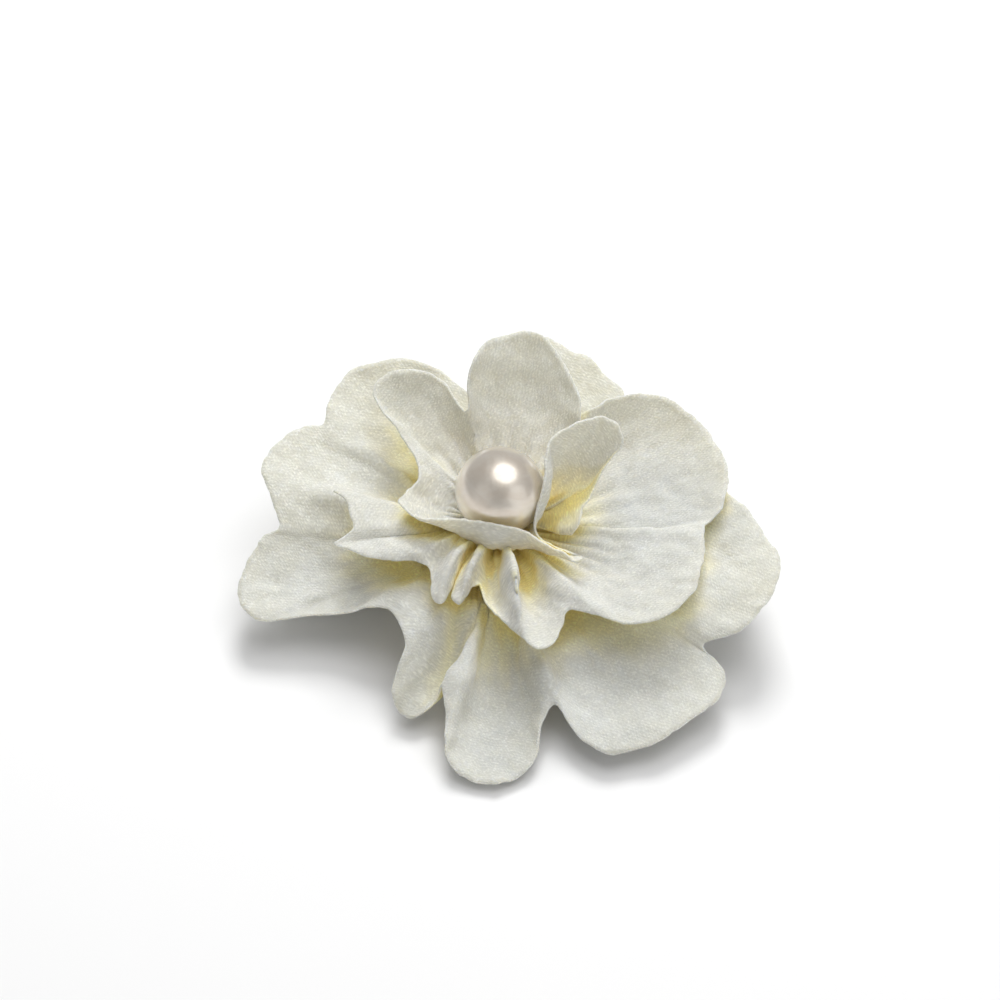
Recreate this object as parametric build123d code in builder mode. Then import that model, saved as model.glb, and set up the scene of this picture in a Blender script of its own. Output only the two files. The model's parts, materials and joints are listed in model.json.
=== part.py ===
"""Flower hair clip: three gathered rounds of scalloped cloth and a pearl on a sprung two-arm steel clip.

Frame, in millimetres: the clip rests on its lower arm's flat underside at Z = 0, the flower faces +Z,
the jaws point to -X and the thumb tails to +X, and the pearl's centre is on the Z axis. The clip's own
middle plane stands a little behind that axis, so that the drooping front petals hide it.
"""

import os
from math import cos, radians, sin
from typing import NamedTuple

from build123d import *

os.makedirs("parts", exist_ok=True)

# ---------------------------------------------------------------- driving dimensions
STEEL = 0.7  # sheet thickness of both arms
CLIP_Y = 1.6  # the clip's middle plane, behind the pearl's axis
LOWER_WIDTH = 7.4
UPPER_WIDTH = 5.8  # nests between the lower arm's toothed flanges
JAW_TIP_X = -27.0
TAIL_X = 29.0
PIVOT_X, PIVOT_Z = 15.0, 3.9
ARM_TOP = 7.0  # top face of the upper arm, which carries the flower
PIN_RADIUS = 0.8
RUNNING_CLEARANCE = 0.05

WIRE = 0.7  # spring wire diameter
COIL_RADIUS = 1.65  # to the wire's centre
COIL_TURNS = 4.5  # the half turn leaves one leg above the pin and one below
COIL_PITCH = 0.78

FELT_RADIUS = 10.0
FELT = 0.9
GLUE = 0.2
CLOTH = 0.45  # thickness of a petal solid, which stands for two faces of cloth and its ripple
HUB_RADIUS = 3.2
HUB_PITCH = 1.15  # from one round's gathered hub to the next
PEARL_RADIUS = 5.0
PEARL_Z = 16.1
POST_RADIUS = 0.5

felt_bottom = ARM_TOP + GLUE
felt_top = felt_bottom + FELT
first_hub = felt_top + GLUE
hub_bottoms = [first_hub + HUB_PITCH * n for n in range(3)]


# ---------------------------------------------------------------- helpers
def save(part, name):
    """Label a finished piece and write its STEP file under the same name."""
    part.label = name
    export_step(part, f"parts/{name}.step")


def save_on_clip(part, name):
    """Save a piece drawn about the clip's own middle plane."""
    save(part.moved(Location((0, CLIP_Y, 0))), name)


class Petal(NamedTuple):
    """One petal of a round, as it stands in the finished flower."""

    azimuth: float  # degrees about +Z from +X
    reach: float  # tip radius from the Z axis
    height: float  # tip height above the rest plane
    width: float
    bow: float  # rise of the middle above the straight line from root to tip


def petal_solid(petal, root_z):
    """A petal: a bent strip of cloth, trimmed in plan to a rounded tongue that narrows to the hub."""
    turn = radians(petal.azimuth)
    upright = Plane(origin=(0, 0, 0), x_dir=(cos(turn), sin(turn), 0), z_dir=(sin(turn), -cos(turn), 0))
    flat = Plane(origin=(0, 0, 0), x_dir=(cos(turn), sin(turn), 0), z_dir=(0, 0, 1))
    root = Vector(HUB_RADIUS - 1, root_z)
    tip = Vector(petal.reach + 1, petal.height)
    across = Vector(root.Y - tip.Y, tip.X - root.X).normalized()
    middle = (root + tip) * 0.5 + across * petal.bow
    lift = Vector(0, CLOTH)
    shoulder = petal.reach - petal.width / 2
    with BuildPart() as solid:
        with BuildSketch(upright):
            with BuildLine():
                Spline(root, middle, tip)
                Line(tip, tip + lift)
                Spline(tip + lift, middle + lift, root + lift)
                Line(root + lift, root)
            make_face()
        extrude(amount=petal.width / 2, both=True)
        with BuildSketch(flat):
            with BuildLine():
                Line((0, -HUB_RADIUS), (shoulder, -petal.width / 2))
                ThreePointArc((shoulder, -petal.width / 2), (petal.reach, 0), (shoulder, petal.width / 2))
                Line((shoulder, petal.width / 2), (0, HUB_RADIUS))
                Line((0, HUB_RADIUS), (0, -HUB_RADIUS))
            make_face()
        extrude(amount=ARM_TOP + 40, mode=Mode.INTERSECT)
    return solid.part


def petal_round(petals, hub_bottom, hub_height):
    """One round of cloth: its petals, joined at the flat gathered hub that the pearl's post passes through."""
    with BuildPart() as cloth:
        with BuildSketch(Plane.XY.offset(hub_bottom)):
            Circle(HUB_RADIUS)
        extrude(amount=hub_height)
        for petal in petals:
            add(petal_solid(petal, hub_bottom))
        with BuildSketch(Plane.XY.offset(hub_bottom - 1)):
            Circle(POST_RADIUS)
        extrude(amount=hub_height + 3, mode=Mode.SUBTRACT)
    return cloth.part


# ---------------------------------------------------------------- clip: lower arm
EAR_RADIUS = 2.0
TOOTH_PITCH = 1.9
TOOTH_HEIGHT = 1.4
TOOTH_COUNT = 8
TOOTH_START_X = -24.2
BEAD_HEIGHT = 0.4

with BuildPart() as lower_arm:
    with BuildSketch():
        with Locations(((JAW_TIP_X + TAIL_X) / 2, 0)):
            SlotOverall(TAIL_X - JAW_TIP_X, LOWER_WIDTH)
    extrude(amount=STEEL)
    # Two ears bent up beside the pivot, rounded about the pin.
    with BuildSketch(Plane.XZ.offset(LOWER_WIDTH / 2 - STEEL)):
        with Locations((PIVOT_X, PIVOT_Z)):
            Circle(EAR_RADIUS)
        with Locations((PIVOT_X, PIVOT_Z / 2)):
            Rectangle(2 * EAR_RADIUS, PIVOT_Z)
        with Locations((PIVOT_X, PIVOT_Z)):
            Circle(PIN_RADIUS, mode=Mode.SUBTRACT)
    extrude(amount=STEEL)
    # A saw-toothed flange along each edge of the jaw.
    with BuildSketch(Plane.XZ.offset(LOWER_WIDTH / 2 - STEEL)):
        for n in range(TOOTH_COUNT):
            with Locations((TOOTH_START_X + TOOTH_PITCH * n, STEEL - 0.05)):
                Triangle(a=TOOTH_PITCH, b=TOOTH_HEIGHT * 1.2, c=TOOTH_HEIGHT * 1.2, align=(Align.CENTER, Align.MIN))
    extrude(amount=STEEL)
    mirror(about=Plane.XZ)
    # A raised stiffening bead down the middle of the jaw.
    with BuildSketch(Plane.XY.offset(STEEL)):
        with Locations((-6, 0)):
            SlotOverall(28, 2.0)
    extrude(amount=BEAD_HEIGHT, taper=20)
save_on_clip(lower_arm.part, "lower_arm")

# ---------------------------------------------------------------- clip: upper arm
UPPER_UNDERSIDE = ARM_TOP - STEEL
KNEE_X = -13.0  # where the arm starts down to the jaw tip
JAW_UNDERSIDE = STEEL + BEAD_HEIGHT + 0.15
HEEL_X = 21.0  # where the tail starts up
TAIL_RISE = 1.7
TIP_INSET = 1.0
GRIP_RIBS = 4
GRIP_RIB_RADIUS = 0.35
GRIP_RIB_PITCH = 1.7

with BuildPart() as upper_arm:
    with BuildSketch(Plane.XZ):
        with BuildLine():
            route = FilletPolyline(
                (JAW_TIP_X + TIP_INSET, JAW_UNDERSIDE),
                (JAW_TIP_X + 4, JAW_UNDERSIDE),
                (KNEE_X, UPPER_UNDERSIDE),
                (HEEL_X, UPPER_UNDERSIDE),
                (TAIL_X, UPPER_UNDERSIDE + TAIL_RISE),
                radius=2.5,
            )
            offset(route, amount=STEEL, side=Side.LEFT, closed=True)
        make_face()
    extrude(amount=UPPER_WIDTH / 2, both=True)
    # Round both ends in plan.
    with BuildSketch():
        with Locations(((JAW_TIP_X + TIP_INSET + TAIL_X) / 2, 0)):
            SlotOverall(TAIL_X - JAW_TIP_X - TIP_INSET, UPPER_WIDTH)
    extrude(amount=3 * ARM_TOP, mode=Mode.INTERSECT)
    # Two ears bent down inside the lower arm's ears.
    with BuildSketch(Plane.XZ.offset(UPPER_WIDTH / 2 - STEEL)):
        with Locations((PIVOT_X, PIVOT_Z)):
            Circle(EAR_RADIUS)
        with Locations((PIVOT_X, (PIVOT_Z + ARM_TOP) / 2 - STEEL / 4)):
            Rectangle(2 * EAR_RADIUS, ARM_TOP - PIVOT_Z - STEEL / 2)
        with Locations((PIVOT_X, PIVOT_Z)):
            Circle(PIN_RADIUS + RUNNING_CLEARANCE, mode=Mode.SUBTRACT)
    extrude(amount=STEEL)
    mirror(about=Plane.XZ)
    # Thumb ribs across the tail.
    tail_slope = TAIL_RISE / (TAIL_X - HEEL_X)
    for n in range(GRIP_RIBS):
        rib_x = TAIL_X - 3.0 - GRIP_RIB_PITCH * n
        rib_z = ARM_TOP + (rib_x - HEEL_X) * tail_slope
        with BuildSketch(Plane.XZ):
            with Locations((rib_x, rib_z)):
                Circle(GRIP_RIB_RADIUS)
        extrude(amount=UPPER_WIDTH / 2 - 1.2, both=True)
save_on_clip(upper_arm.part, "upper_arm")

# ---------------------------------------------------------------- clip: hinge pin and torsion spring
HEAD_RADIUS = 1.4
HEAD_THICKNESS = 0.6
pin_half = LOWER_WIDTH / 2 + RUNNING_CLEARANCE

with BuildPart() as hinge_pin:
    with BuildSketch(Plane.XZ.offset(-pin_half)):
        with Locations((PIVOT_X, PIVOT_Z)):
            Circle(PIN_RADIUS)
    extrude(amount=2 * pin_half)
    for side in (-1, 1):
        with BuildSketch(Plane.XZ.offset(side * pin_half)):
            with Locations((PIVOT_X, PIVOT_Z)):
                Circle(HEAD_RADIUS)
        extrude(amount=side * HEAD_THICKNESS, taper=25)
save_on_clip(hinge_pin.part, "hinge_pin")

coil_length = COIL_TURNS * COIL_PITCH
LEG_LENGTH = 6.5
LEG_GAP = 0.03  # left between each leg's end and the tail it pushes on
upper_leg_rise = UPPER_UNDERSIDE - LEG_GAP - WIRE / 2 - PIVOT_Z - COIL_RADIUS
lower_leg_drop = PIVOT_Z - COIL_RADIUS - WIRE / 2 - LEG_GAP - STEEL

with BuildPart() as torsion_spring:
    with BuildLine():
        coil = Helix(
            pitch=COIL_PITCH,
            height=coil_length,
            radius=COIL_RADIUS,
            center=(PIVOT_X, -coil_length / 2, PIVOT_Z),
            direction=(0, 1, 0),
        )
    with BuildSketch(Plane(origin=coil @ 0, z_dir=coil % 0)):
        Circle(WIRE / 2)
    sweep(path=coil)
    first, last = coil @ 0, coil @ 1
    for end in (first, last):
        above = end.Z > PIVOT_Z
        far = Vector(PIVOT_X + LEG_LENGTH, end.Y, end.Z + (upper_leg_rise if above else -lower_leg_drop))
        with BuildSketch(Plane(origin=end, z_dir=far - end)):
            Circle(WIRE / 2)
        extrude(amount=(far - end).length)
save_on_clip(torsion_spring.part, "torsion_spring")

# ---------------------------------------------------------------- felt, glue and the pearl's post
POST_PAD_RADIUS = 1.2
POST_TOP = PEARL_Z - 1.5

with BuildPart() as clip_glue:
    with BuildSketch(Plane.XY.offset(ARM_TOP)):
        with Locations((0, CLIP_Y)):
            SlotOverall(2 * FELT_RADIUS - 4, UPPER_WIDTH - 1)
        Circle(POST_PAD_RADIUS, mode=Mode.SUBTRACT)
    extrude(amount=GLUE)
save(clip_glue.part, "clip_glue")

with BuildPart() as pearl_post:
    with BuildSketch(Plane.XY.offset(ARM_TOP)):
        Circle(POST_PAD_RADIUS)
    extrude(amount=GLUE)
    with BuildSketch(Plane.XY.offset(ARM_TOP)):
        Circle(POST_RADIUS)
    extrude(amount=POST_TOP - ARM_TOP)
save(pearl_post.part, "pearl_post")

with BuildPart() as felt_base:
    with BuildSketch(Plane.XY.offset(felt_bottom)):
        Circle(FELT_RADIUS)
        Circle(POST_RADIUS, mode=Mode.SUBTRACT)
    extrude(amount=FELT)
    fillet(felt_base.edges().filter_by(GeomType.CIRCLE).group_by(SortBy.RADIUS)[-1], radius=0.25)
save(felt_base.part, "felt_base")

BRIDGE = 0.8  # felt thickness under the arm
BRIDGE_LENGTH = 12.0
bridge_half = 8.6
foot_half = UPPER_WIDTH / 2 + 0.9

with BuildPart() as felt_bridge:
    with BuildSketch(Plane.YZ):
        with BuildLine():
            Polyline(
                (bridge_half, felt_bottom),
                (bridge_half, felt_bottom - BRIDGE),
                (foot_half, felt_bottom - BRIDGE),
                (foot_half, UPPER_UNDERSIDE - BRIDGE),
                (0, UPPER_UNDERSIDE - BRIDGE),
                (0, UPPER_UNDERSIDE),
                (foot_half - BRIDGE, UPPER_UNDERSIDE),
                (foot_half - BRIDGE, felt_bottom),
                close=True,
            )
        make_face()
        mirror(about=Plane.YZ)
    extrude(amount=BRIDGE_LENGTH / 2, both=True)
save_on_clip(felt_bridge.part, "felt_bridge")

with BuildPart() as flower_glue:
    with BuildSketch(Plane.XY.offset(felt_top)):
        Circle(HUB_RADIUS + 0.8)
        Circle(POST_RADIUS, mode=Mode.SUBTRACT)
    extrude(amount=GLUE)
save(flower_glue.part, "flower_glue")

# ---------------------------------------------------------------- the three rounds of cloth
outer_petals = [
    Petal(191, 29.6, 4.5, 15, 2.0),
    Petal(162, 28.6, 11.0, 15, -0.5),
    Petal(128, 26.5, 14.0, 16, -1.2),
    Petal(70, 26.5, 12.0, 15, -0.9),
    Petal(30, 27.0, 10.2, 15, -0.45),
    Petal(350, 31.0, 9.8, 18, -0.3),
    Petal(303, 30.3, 2.4, 19, 2.6),
    Petal(267, 30.4, 1.0, 12, 3.0),
    Petal(243, 25.0, 2.2, 8, 2.6),
]
middle_petals = [
    Petal(39, 25.5, 14.5, 19, -1.35),
    Petal(341, 23.5, 11.3, 16, -0.4),
    Petal(284, 18.0, 10.6, 7, 0.0),
    Petal(240, 13.5, 10.6, 6, 0.0),
    Petal(190, 19.0, 11.6, 7, 0.0),
    Petal(160, 19.0, 13.0, 8, -0.8),
    Petal(122, 18.5, 14.0, 12, -1.2),
    Petal(80, 18.5, 14.5, 12, -1.2),
]
inner_petals = [
    Petal(126, 20.0, 19.0, 13, -2.0),
    Petal(86, 19.5, 21.5, 14, -2.5),
    Petal(20, 13.5, 22.5, 6, -2.4),
    Petal(330, 11.0, 12.9, 6, -0.2),
    Petal(268, 8.2, 16.3, 6, -1.4),
    Petal(205, 10.0, 15.0, 6, -0.8),
]

for name, petals, hub_bottom in zip(
    ("outer_petals", "middle_petals", "inner_petals"),
    (outer_petals, middle_petals, inner_petals),
    hub_bottoms,
):
    hub_height = HUB_PITCH - 0.05 if name != "inner_petals" else CLOTH
    save(petal_round(petals, hub_bottom, hub_height), name)

# ---------------------------------------------------------------- gathering threads
THREAD_RADIUS = 0.13
THREAD_LIFT = 0.42  # from a round's cloth up to the thread tied about its hub
INNER_LOOP_RADIUS = 2.0  # the top round is drawn up under the pearl instead


def gather_thread(loop_radius, height):
    """The thread that draws one round's cut edge up to its hub."""
    with BuildPart() as thread:
        with Locations((0, 0, height)):
            Torus(loop_radius, THREAD_RADIUS)
    return thread.part


outer_hub, middle_hub, inner_hub = hub_bottoms
hub_loop = HUB_RADIUS + THREAD_RADIUS + 0.02
save(gather_thread(hub_loop, outer_hub + CLOTH + THREAD_LIFT), "outer_gather_thread")
save(gather_thread(hub_loop, middle_hub + CLOTH + THREAD_LIFT), "middle_gather_thread")
save(gather_thread(INNER_LOOP_RADIUS, inner_hub + CLOTH + THREAD_RADIUS + 0.02), "inner_gather_thread")

# ---------------------------------------------------------------- pearl
with BuildPart() as pearl:
    with Locations((0, 0, PEARL_Z)):
        Sphere(PEARL_RADIUS)
    with BuildSketch(Plane.XY.offset(PEARL_Z - PEARL_RADIUS)):
        Circle(POST_RADIUS)
    extrude(amount=POST_TOP - PEARL_Z + PEARL_RADIUS, mode=Mode.SUBTRACT)
save(pearl.part, "pearl")
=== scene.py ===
"""Looks for the flower hair clip: three rounds of ivory crepe satin and a pearl on a sprung steel clip.

Lengths are in metres unless a name or comment says mm. Shapes are written in mm and scaled by MM.
"""

import json
import math

import bpy
import numpy as np
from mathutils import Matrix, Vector, noise
from mathutils.bvhtree import BVHTree


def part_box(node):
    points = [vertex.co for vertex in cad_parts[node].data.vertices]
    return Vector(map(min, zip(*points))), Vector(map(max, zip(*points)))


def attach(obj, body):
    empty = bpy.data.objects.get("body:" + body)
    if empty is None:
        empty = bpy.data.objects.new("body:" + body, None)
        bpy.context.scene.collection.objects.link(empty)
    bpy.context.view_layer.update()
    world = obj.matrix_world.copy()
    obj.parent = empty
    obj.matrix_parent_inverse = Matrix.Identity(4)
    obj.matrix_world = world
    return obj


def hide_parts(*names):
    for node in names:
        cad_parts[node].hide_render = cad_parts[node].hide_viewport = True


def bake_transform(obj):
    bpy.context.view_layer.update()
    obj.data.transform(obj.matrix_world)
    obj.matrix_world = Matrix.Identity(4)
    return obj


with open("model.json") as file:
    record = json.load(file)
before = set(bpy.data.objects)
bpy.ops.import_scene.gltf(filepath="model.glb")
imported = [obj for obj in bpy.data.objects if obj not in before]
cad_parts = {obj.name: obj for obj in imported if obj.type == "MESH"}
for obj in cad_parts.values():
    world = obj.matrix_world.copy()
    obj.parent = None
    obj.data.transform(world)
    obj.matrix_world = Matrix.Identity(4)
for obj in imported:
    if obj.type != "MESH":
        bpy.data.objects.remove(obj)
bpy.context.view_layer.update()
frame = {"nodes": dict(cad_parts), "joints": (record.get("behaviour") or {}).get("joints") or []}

MM = 0.001
TAU = 2 * math.pi


# ---------------------------------------------------------------- small helpers
def mesh_object(name, verts, faces, smooth=True):
    """A mesh object from points in metres."""
    data = bpy.data.meshes.new(name)
    data.from_pydata([tuple(v) for v in verts], [], [tuple(f) for f in faces])
    data.update()
    data.polygons.foreach_set("use_smooth", [smooth] * len(data.polygons))
    made = bpy.data.objects.new(name, data)
    bpy.context.scene.collection.objects.link(made)
    return made


def grid_faces(rows, columns, closed):
    """Quads over a grid of points stored row by row. closed joins the last column to the first."""
    faces = []
    for r in range(rows - 1):
        for c in range(columns if closed else columns - 1):
            d = (c + 1) % columns
            faces.append((r * columns + c, r * columns + d, (r + 1) * columns + d, (r + 1) * columns + c))
    return faces


def ring_faces(rows, columns):
    """Quads over a grid whose columns and rows both close into rings."""
    faces = grid_faces(rows, columns, True)
    last = (rows - 1) * columns
    return faces + [(last + c, last + (c + 1) % columns, (c + 1) % columns, c) for c in range(columns)]


def capped_faces(rows, columns):
    """Quads over a grid whose columns close into a ring, with a flat face over its first and last rows."""
    faces = grid_faces(rows, columns, True)
    return faces + [tuple(range(columns))[::-1], tuple((rows - 1) * columns + c for c in range(columns))]


def smoothstep(low, high, value):
    t = np.clip((value - low) / (high - low), 0, 1)
    return t * t * (3 - 2 * t)


def fractal(points, scale, seed, octaves=3):
    """Smooth noise, about -1 to 1, at points in mm. scale is the size of its largest feature."""
    offset = Vector((seed * 17.3, seed * 5.1, seed * 9.7))
    return np.array([noise.fractal(Vector(p) / scale + offset, 1.0, 2.0, octaves) for p in points])


def store(data, name, kind, values):
    """Keep values on the mesh's points as a named attribute."""
    layer = data.attributes.new(name, kind, "POINT")
    field = "vector" if kind == "FLOAT_VECTOR" else "value"
    layer.data.foreach_set(field, np.ascontiguousarray(values, np.float32).ravel())


def apply_modifiers(obj):
    """Replace the object's mesh with what its modifiers make of it."""
    bpy.context.view_layer.update()
    graph = bpy.context.evaluated_depsgraph_get()
    solid = obj.evaluated_get(graph)
    data = bpy.data.meshes.new_from_object(solid, preserve_all_data_layers=True, depsgraph=graph)
    obj.modifiers.clear()
    obj.data = data
    data.polygons.foreach_set("use_smooth", [True] * len(data.polygons))


def dress(piece, node, material):
    """Give a piece its material, and hide the CAD node it replaces."""
    piece.data.materials.clear()
    piece.data.materials.append(material)
    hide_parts(node)


def fractal_sum(points, layers, seed):
    """Layers of fractal noise, each given as its width, what is added to the seed, and its height."""
    return sum(fractal(points, width, seed + shift) * height for width, shift, height in layers)


# ---------------------------------------------------------------- materials
# Texture coordinates are in mm, so a noise's scale is in cycles per mm and a bump's depth is in mm.
def add_node(tree, kind, inputs=None, **settings):
    """A shader node. inputs maps a socket's name or number to a value or to the output that feeds it."""
    made = tree.nodes.new("ShaderNode" + kind)
    for key, value in settings.items():
        setattr(made, key, value)
    for key, value in (inputs or {}).items():
        if isinstance(value, bpy.types.NodeSocket):
            tree.links.new(value, made.inputs[key])
        else:
            made.inputs[key].default_value = value
    return made


def math_node(tree, operation, a, b):
    return add_node(tree, "Math", {0: a, 1: b}, operation=operation).outputs[0]


def weighted_sum(tree, *terms):
    """The sum of outputs, each times its weight, from (output, weight) pairs."""
    parts = [math_node(tree, "MULTIPLY", value, weight) for value, weight in terms]
    total = parts[0]
    for part in parts[1:]:
        total = math_node(tree, "ADD", total, part)
    return total


def noise_node(tree, vector, scale, detail=2.0, roughness=0.5, distortion=0.0):
    """Noise from 0 to 1, with scale in cycles per unit of vector."""
    inputs = {"Vector": vector, "Scale": scale, "Detail": detail}
    inputs |= {"Roughness": roughness, "Distortion": distortion}
    return add_node(tree, "TexNoise", inputs).outputs["Fac"]


def remap(tree, value, low, high, to_low=0.0, to_high=1.0):
    """A smooth step that takes low to to_low and high to to_high, and holds those values outside."""
    inputs = {"Value": value, "From Min": low, "From Max": high, "To Min": to_low, "To Max": to_high}
    return add_node(tree, "MapRange", inputs, interpolation_type="SMOOTHSTEP").outputs["Result"]


def mix_colour(tree, factor, a, b, blend_type="MIX"):
    """Colours a and b are outputs or RGBA values."""
    inputs = {0: factor, 6: a, 7: b}
    return add_node(tree, "Mix", inputs, data_type="RGBA", blend_type=blend_type).outputs[2]


def new_material(name, **constants):
    """A material and its Principled shader, with constant values set on the shader's own sockets."""
    made = bpy.data.materials.new(name)
    made.use_nodes = True
    shader = made.node_tree.nodes["Principled BSDF"]
    for key, value in constants.items():
        shader.inputs[key.replace("_", " ").title().replace("Ior", "IOR")].default_value = value
    return made, made.node_tree, shader


def connect(tree, shader, colour=None, roughness=None, height=None, bump=0.5, depth_mm=0.05):
    """Feed the shader's colour and roughness, and its normal from a height."""
    if colour is not None:
        tree.links.new(colour, shader.inputs["Base Color"])
    if roughness is not None:
        tree.links.new(roughness, shader.inputs["Roughness"])
    if height is not None:
        relief = add_node(tree, "Bump", {"Strength": bump, "Distance": depth_mm * MM, "Height": height})
        tree.links.new(relief.outputs["Normal"], shader.inputs["Normal"])


def object_mm(tree, scale=(1, 1, 1)):
    """The object's own coordinates in mm, stretched by scale."""
    place = add_node(tree, "TexCoord").outputs["Object"]
    return add_node(tree, "Mapping", {"Vector": place, "Scale": [k / MM for k in scale]}).outputs["Vector"]


WEAVE_MM = 0.34  # from one diagonal rib of the crepe to the next
BANDS = math.pi / 10  # a straight band texture's period at scale 1


def make_crepe_satin():
    """Ivory crepe-back satin: a broken diagonal rib, a little glitter, painted glints and painted shade in
    the weave, and painted shade deep in folds: a warm golden tint, brighter than the open ivory, where cloth
    hides the sky.
    """
    made, tree, shader = new_material(
        "crepe_satin",
        sheen_weight=0.35,
        sheen_roughness=0.35,
        specular_ior_level=0.35,
        subsurface_weight=0.85,
        subsurface_radius=(1.0, 0.9, 0.68),
        subsurface_scale=0.8 * MM,
    )
    place = add_node(tree, "Attribute", attribute_name="cloth").outputs["Vector"]
    # This attribute is painted shade: 0 on open cloth to 1 deep in a fold where cloth hides the sky.
    depth = add_node(tree, "Attribute", attribute_name="painted_fold_shade").outputs["Fac"]

    rib_scale = BANDS * math.sqrt(2) / WEAVE_MM
    rib_inputs = {"Vector": place, "Scale": rib_scale, "Distortion": 6.0, "Detail": 2.0}
    rib = add_node(tree, "TexWave", rib_inputs, bands_direction="DIAGONAL").outputs["Fac"]
    yarn_scale = BANDS / (0.8 * WEAVE_MM)
    yarn_inputs = {"Vector": place, "Scale": yarn_scale, "Distortion": 4.0, "Detail": 1.0}
    yarn = add_node(tree, "TexWave", yarn_inputs, bands_direction="X").outputs["Fac"]
    pebble = noise_node(tree, place, 3.3, 4.0, 0.7)
    rib_strength = remap(tree, noise_node(tree, place, 0.9, 2.0), 0.3, 0.7, 0.35, 1.0)
    broken = math_node(tree, "MULTIPLY", rib, rib_strength)
    knots = math_node(tree, "MULTIPLY", broken, yarn)
    height = weighted_sum(tree, (broken, 0.12), (knots, 0.32), (pebble, 0.95))

    patches = noise_node(tree, place, 0.16, 3.0, 0.6)
    ivory = mix_colour(tree, remap(tree, patches, 0.3, 0.7), (0.67, 0.67, 0.615, 1), (0.72, 0.725, 0.68, 1))
    # Painted shade: as the fold value grows, the ivory turns cream, then golden, then amber and brighter.
    # This stands in for shade and for light passing through the cloth.
    drift = remap(tree, noise_node(tree, place, 0.3, 3.0), 0.2, 0.8, -0.06, 0.06)
    uneven = math_node(tree, "ADD", depth, drift)
    cream = mix_colour(tree, remap(tree, uneven, 0.0, 0.26), ivory, (0.75, 0.735, 0.64, 1))
    painted_shade_honey = mix_colour(tree, remap(tree, uneven, 0.14, 0.55), cream, (0.97, 0.905, 0.65, 1))
    amber = mix_colour(tree, remap(tree, uneven, 0.48, 0.95), painted_shade_honey, (1.0, 0.81, 0.37, 1))
    # Glitter lowers the roughness below. In the colour it is painted glints: lighter spots. The colour is
    # also darker where the weave is low, which is painted shade in its hollows.
    glitter = remap(tree, noise_node(tree, place, 3.8, 1.0), 0.56, 0.7)
    painted_glints = math_node(tree, "MULTIPLY", glitter, 0.16)
    shade = math_node(tree, "ADD", remap(tree, height, 0.25, 0.95, 0.82, 1.04), painted_glints)
    grey = add_node(tree, "CombineColor", {"Red": shade, "Green": shade, "Blue": shade}).outputs["Color"]
    colour = mix_colour(tree, 1.0, amber, grey, "MULTIPLY")

    satin = remap(tree, noise_node(tree, place, 0.11, 2.0), 0.4, 0.65)
    roughness = math_node(tree, "SUBTRACT", 0.66, math_node(tree, "MULTIPLY", glitter, 0.34))
    roughness = math_node(tree, "SUBTRACT", roughness, math_node(tree, "MULTIPLY", satin, 0.1))
    connect(tree, shader, colour, roughness, height, bump=0.75, depth_mm=0.09)
    return made


def make_nickel(name, tint, brushing, wear):
    """Nickel-plated steel. brushing stretches its fine scratches, wear is how much plating has dulled."""
    made, tree, shader = new_material(name, metallic=1.0, anisotropic=0.4)
    scratches = noise_node(tree, object_mm(tree, brushing), 9.0, 3.0, 0.6)
    dull = remap(tree, noise_node(tree, object_mm(tree), 0.35, 5.0, 0.62), 0.48, 0.72)
    specks = remap(tree, noise_node(tree, object_mm(tree), 2.6, 2.0), 0.66, 0.74)
    dark, light = ([share * k for k in tint] + [1] for share in (0.86, 1.06))
    plated = mix_colour(tree, scratches, dark, light)
    tarnish = math_node(tree, "MULTIPLY", dull, wear)
    tarnished = mix_colour(tree, tarnish, plated, (0.46, 0.43, 0.38, 1))
    pitting = math_node(tree, "MULTIPLY", specks, 0.5 * wear)
    colour = mix_colour(tree, pitting, tarnished, (0.25, 0.22, 0.19, 1))
    roughness = math_node(tree, "ADD", 0.2, math_node(tree, "MULTIPLY", scratches, 0.18))
    roughness = math_node(tree, "ADD", roughness, math_node(tree, "MULTIPLY", dull, 0.22))
    connect(tree, shader, colour, roughness, scratches, bump=0.25, depth_mm=0.02)
    return made


def make_felt():
    """Pressed off-white felt: matted fibres, with lint and a soft sheen."""
    made, tree, shader = new_material(
        "felt", sheen_weight=0.6, sheen_roughness=0.6, specular_ior_level=0.15
    )
    place = object_mm(tree)
    fibres = noise_node(tree, object_mm(tree, (1, 0.25, 1)), 7.0, 5.0, 0.7, 1.8)
    crossing = noise_node(tree, object_mm(tree, (0.25, 1, 1)), 8.0, 5.0, 0.7, 1.8)
    clumps = noise_node(tree, place, 0.8, 3.0)
    matted = math_node(tree, "MAXIMUM", fibres, crossing)
    height = math_node(tree, "ADD", matted, math_node(tree, "MULTIPLY", clumps, 0.6))
    colour = mix_colour(tree, remap(tree, height, 0.6, 1.15), (0.62, 0.60, 0.52, 1), (0.86, 0.845, 0.78, 1))
    roughness = remap(tree, clumps, 0.3, 0.7, 0.82, 0.96)
    connect(tree, shader, colour, roughness, height, bump=0.8, depth_mm=0.12)
    return made


def make_glue():
    """Hot-melt glue: amber, cloudy, with ripples from its cooling."""
    made, tree, shader = new_material(
        "hot_melt_glue",
        subsurface_weight=0.5,
        subsurface_radius=(1, 0.7, 0.3),
        subsurface_scale=0.6 * MM,
        coat_weight=0.3,
    )
    place = object_mm(tree)
    cloud = noise_node(tree, place, 0.7, 3.0)
    ripple = noise_node(tree, place, 1.8, 2.0, 0.5, 1.2)
    colour = mix_colour(tree, remap(tree, cloud, 0.3, 0.7), (0.72, 0.56, 0.30, 1), (0.86, 0.76, 0.52, 1))
    roughness = remap(tree, cloud, 0.3, 0.7, 0.28, 0.46)
    connect(tree, shader, colour, roughness, ripple, bump=0.5, depth_mm=0.12)
    return made


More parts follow.
